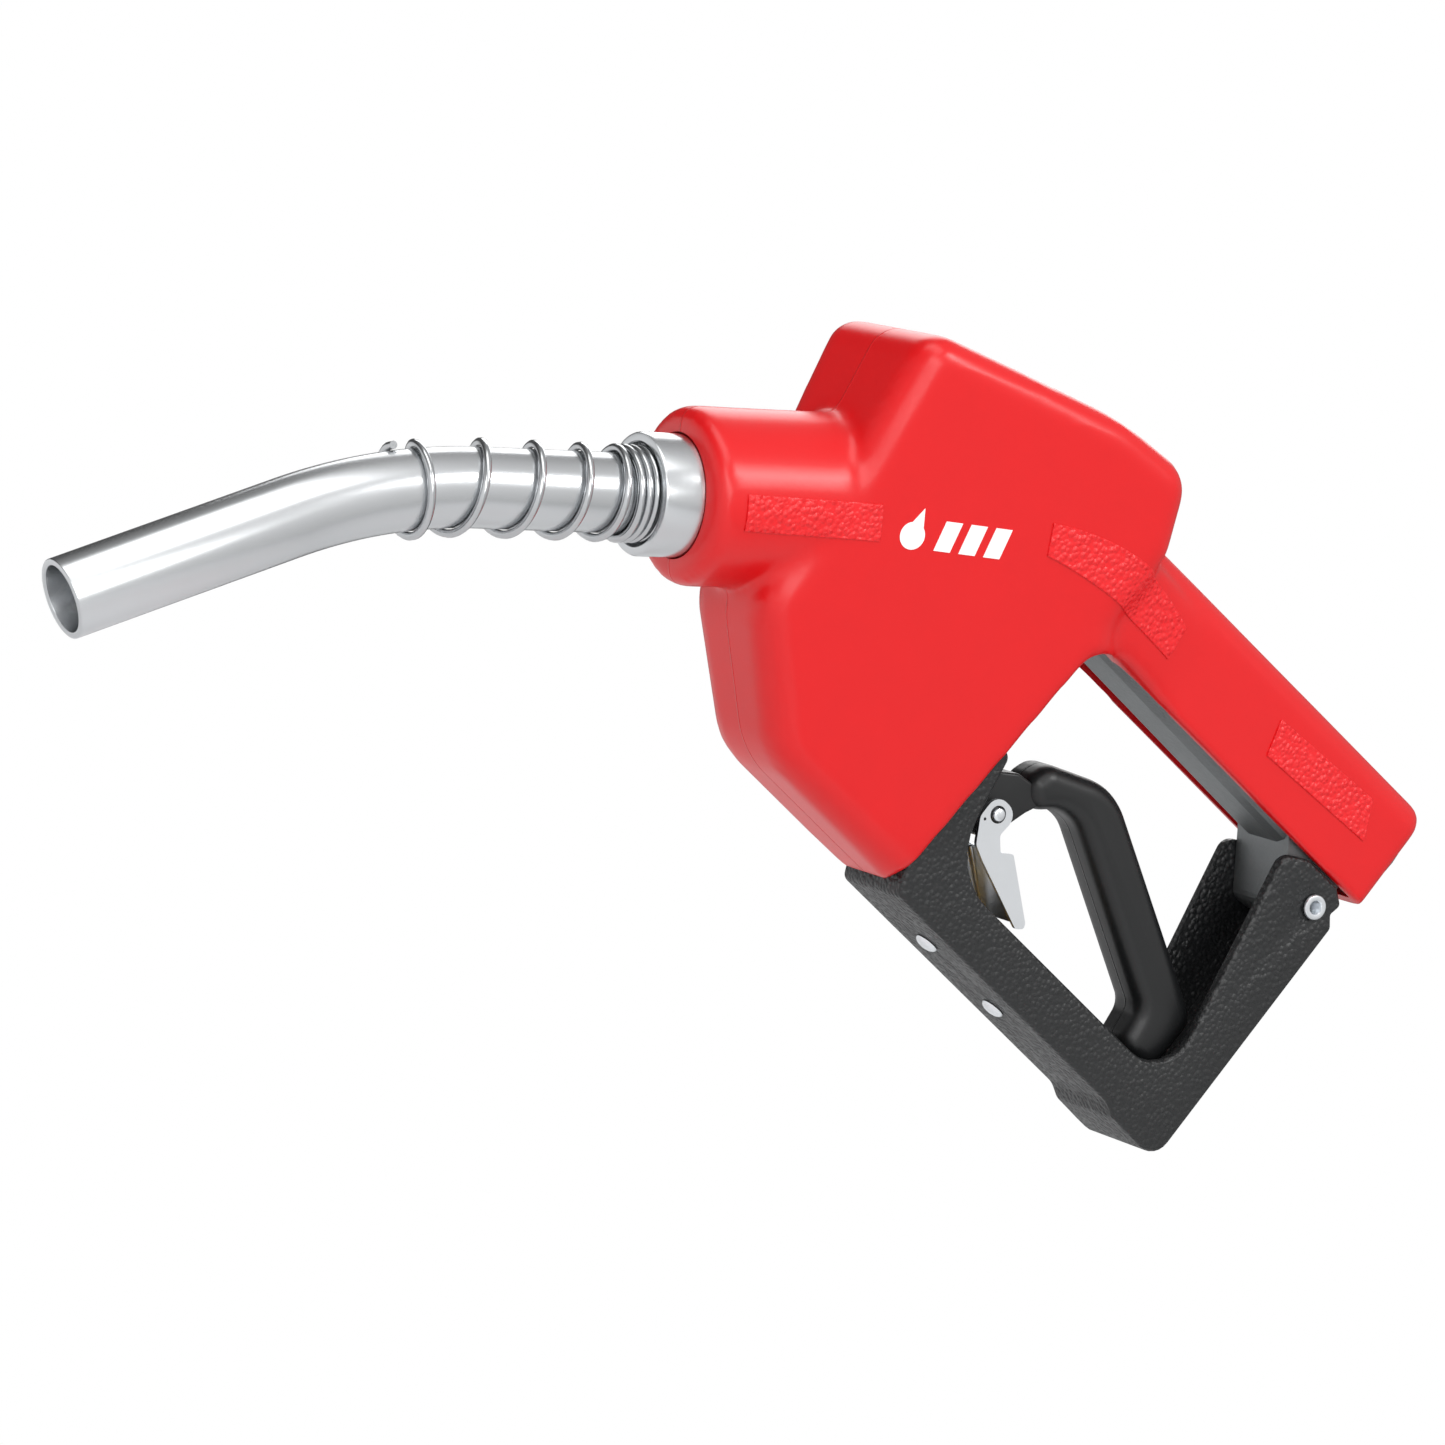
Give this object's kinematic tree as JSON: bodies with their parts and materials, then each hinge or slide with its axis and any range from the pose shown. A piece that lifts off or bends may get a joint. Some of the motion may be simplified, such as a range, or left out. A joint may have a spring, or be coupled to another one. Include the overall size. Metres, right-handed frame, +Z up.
{
  "type": "fuel nozzle",
  "caption": "Automatic shut-off fuel nozzle with a bent spout, sprung hand lever, hold-open latch, guard and red grip cover.",
  "frame": {"origin": "centre of the hose inlet's end face", "axes": "+X along the grip towards the hose, +Z up and square to the grip, Y = 0 is the plane of symmetry"},
  "size_m": [0.4136, 0.0664, 0.2662],
  "materials": {
    "cast_aluminium": "as-cast grey",
    "red_vinyl": "soft satin vinyl with grained strips",
    "aluminium": "satin turned",
    "spring_steel": "drawn wire",
    "zinc_steel": "bright zinc plate",
    "yellow_zinc_steel": "yellow passivated zinc plate",
    "black_plastic": "leather grain",
    "black_coated_steel": "satin black powder coat",
    "brass": "machined",
    "rubber": "matt",
    "acetal": "machined white",
    "stainless": "ground"
  },
  "bodies": {
    "nozzle_body": {"body_casting": "cast_aluminium", "grip_cover": "red_vinyl", "spout_tube": "aluminium", "vent_tube": "acetal", "anchor_spring": "spring_steel", "spout_collar": "aluminium", "spout_o_ring": "rubber", "spout_set_screw": "stainless", "check_guide": "acetal", "check_seat": "brass", "check_spring": "stainless", "main_spring": "stainless", "valve_cap": "aluminium", "cap_o_ring": "rubber", "stem_packing": "acetal", "packing_nut": "brass", "vacuum_cap": "aluminium", "diaphragm": "rubber", "diaphragm_spring": "stainless", "latch_ring": "stainless", "plunger_spring": "stainless", "plunger_spring_seat": "brass", "vacuum_cap_screw_1": "zinc_steel", "vacuum_cap_screw_2": "zinc_steel", "vacuum_cap_screw_3": "zinc_steel", "vacuum_cap_screw_4": "zinc_steel", "lever_guard": "black_plastic", "hold_open_rack": "yellow_zinc_steel", "rack_rivet_front": "zinc_steel", "rack_rivet_rear": "zinc_steel", "guard_rear_rivet": "zinc_steel", "guard_front_screw": "zinc_steel"},
    "check_valve": {"check_poppet": "acetal"},
    "main_valve": {"disc_holder": "brass", "seat_disc": "rubber", "valve_stem": "stainless"},
    "vacuum_latch": {"diaphragm_plate": "brass", "latch_pin": "stainless"},
    "plunger": {"latch_plunger": "stainless", "latch_ball_1": "stainless", "latch_ball_2": "stainless", "latch_ball_3": "stainless", "lever_pivot_pin": "stainless"},
    "hand_lever": {"lever": "black_coated_steel", "latch_pivot_pin": "zinc_steel", "latch_spring": "spring_steel"},
    "latch": {"hold_open_latch": "zinc_steel"}
  },
  "joints": [
    {"name": "plunger_drop", "type": "slide", "parent": "nozzle_body", "child": "plunger", "axis": [0, 0, -1], "range_m": [0, 0.003], "stiffness_N_per_m": 1500, "springref_m": -0.01, "deforming": ["plunger_spring"]},
    {"name": "lever_squeeze", "type": "hinge", "parent": "plunger", "child": "hand_lever", "pos_m": [-0.2155, 0, -0.09], "axis": [0, -1, 0], "range_deg": [0, 11.5], "stiffness_Nm_per_rad": 2, "springref_deg": -28.65},
    {"name": "hold_open", "type": "hinge", "parent": "hand_lever", "child": "latch", "pos_m": [-0.1241, 0, -0.0798], "axis": [0, 1, 0], "range_deg": [-28, 10], "stiffness_Nm_per_rad": 0.15},
    {"name": "valve_lift", "type": "slide", "parent": "nozzle_body", "child": "main_valve", "axis": [0, 0, 1], "range_m": [0, 0.01], "deforming": ["main_spring"]},
    {"name": "check_open", "type": "slide", "parent": "nozzle_body", "child": "check_valve", "axis": [-0.788, 0, -0.6157], "range_m": [0, 0.005], "stiffness_N_per_m": 300, "springref_m": -0.004, "deforming": ["check_spring"]},
    {"name": "diaphragm_lift", "type": "slide", "parent": "nozzle_body", "child": "vacuum_latch", "axis": [0, 0, 1], "range_m": [0, 0.003], "stiffness_N_per_m": 400, "springref_m": -0.004, "deforming": ["diaphragm", "diaphragm_spring"]}
  ],
  "couplings": [
    {"joint": "valve_lift", "follows": "lever_squeeze", "m_per_rad": 0.045}
  ]
}
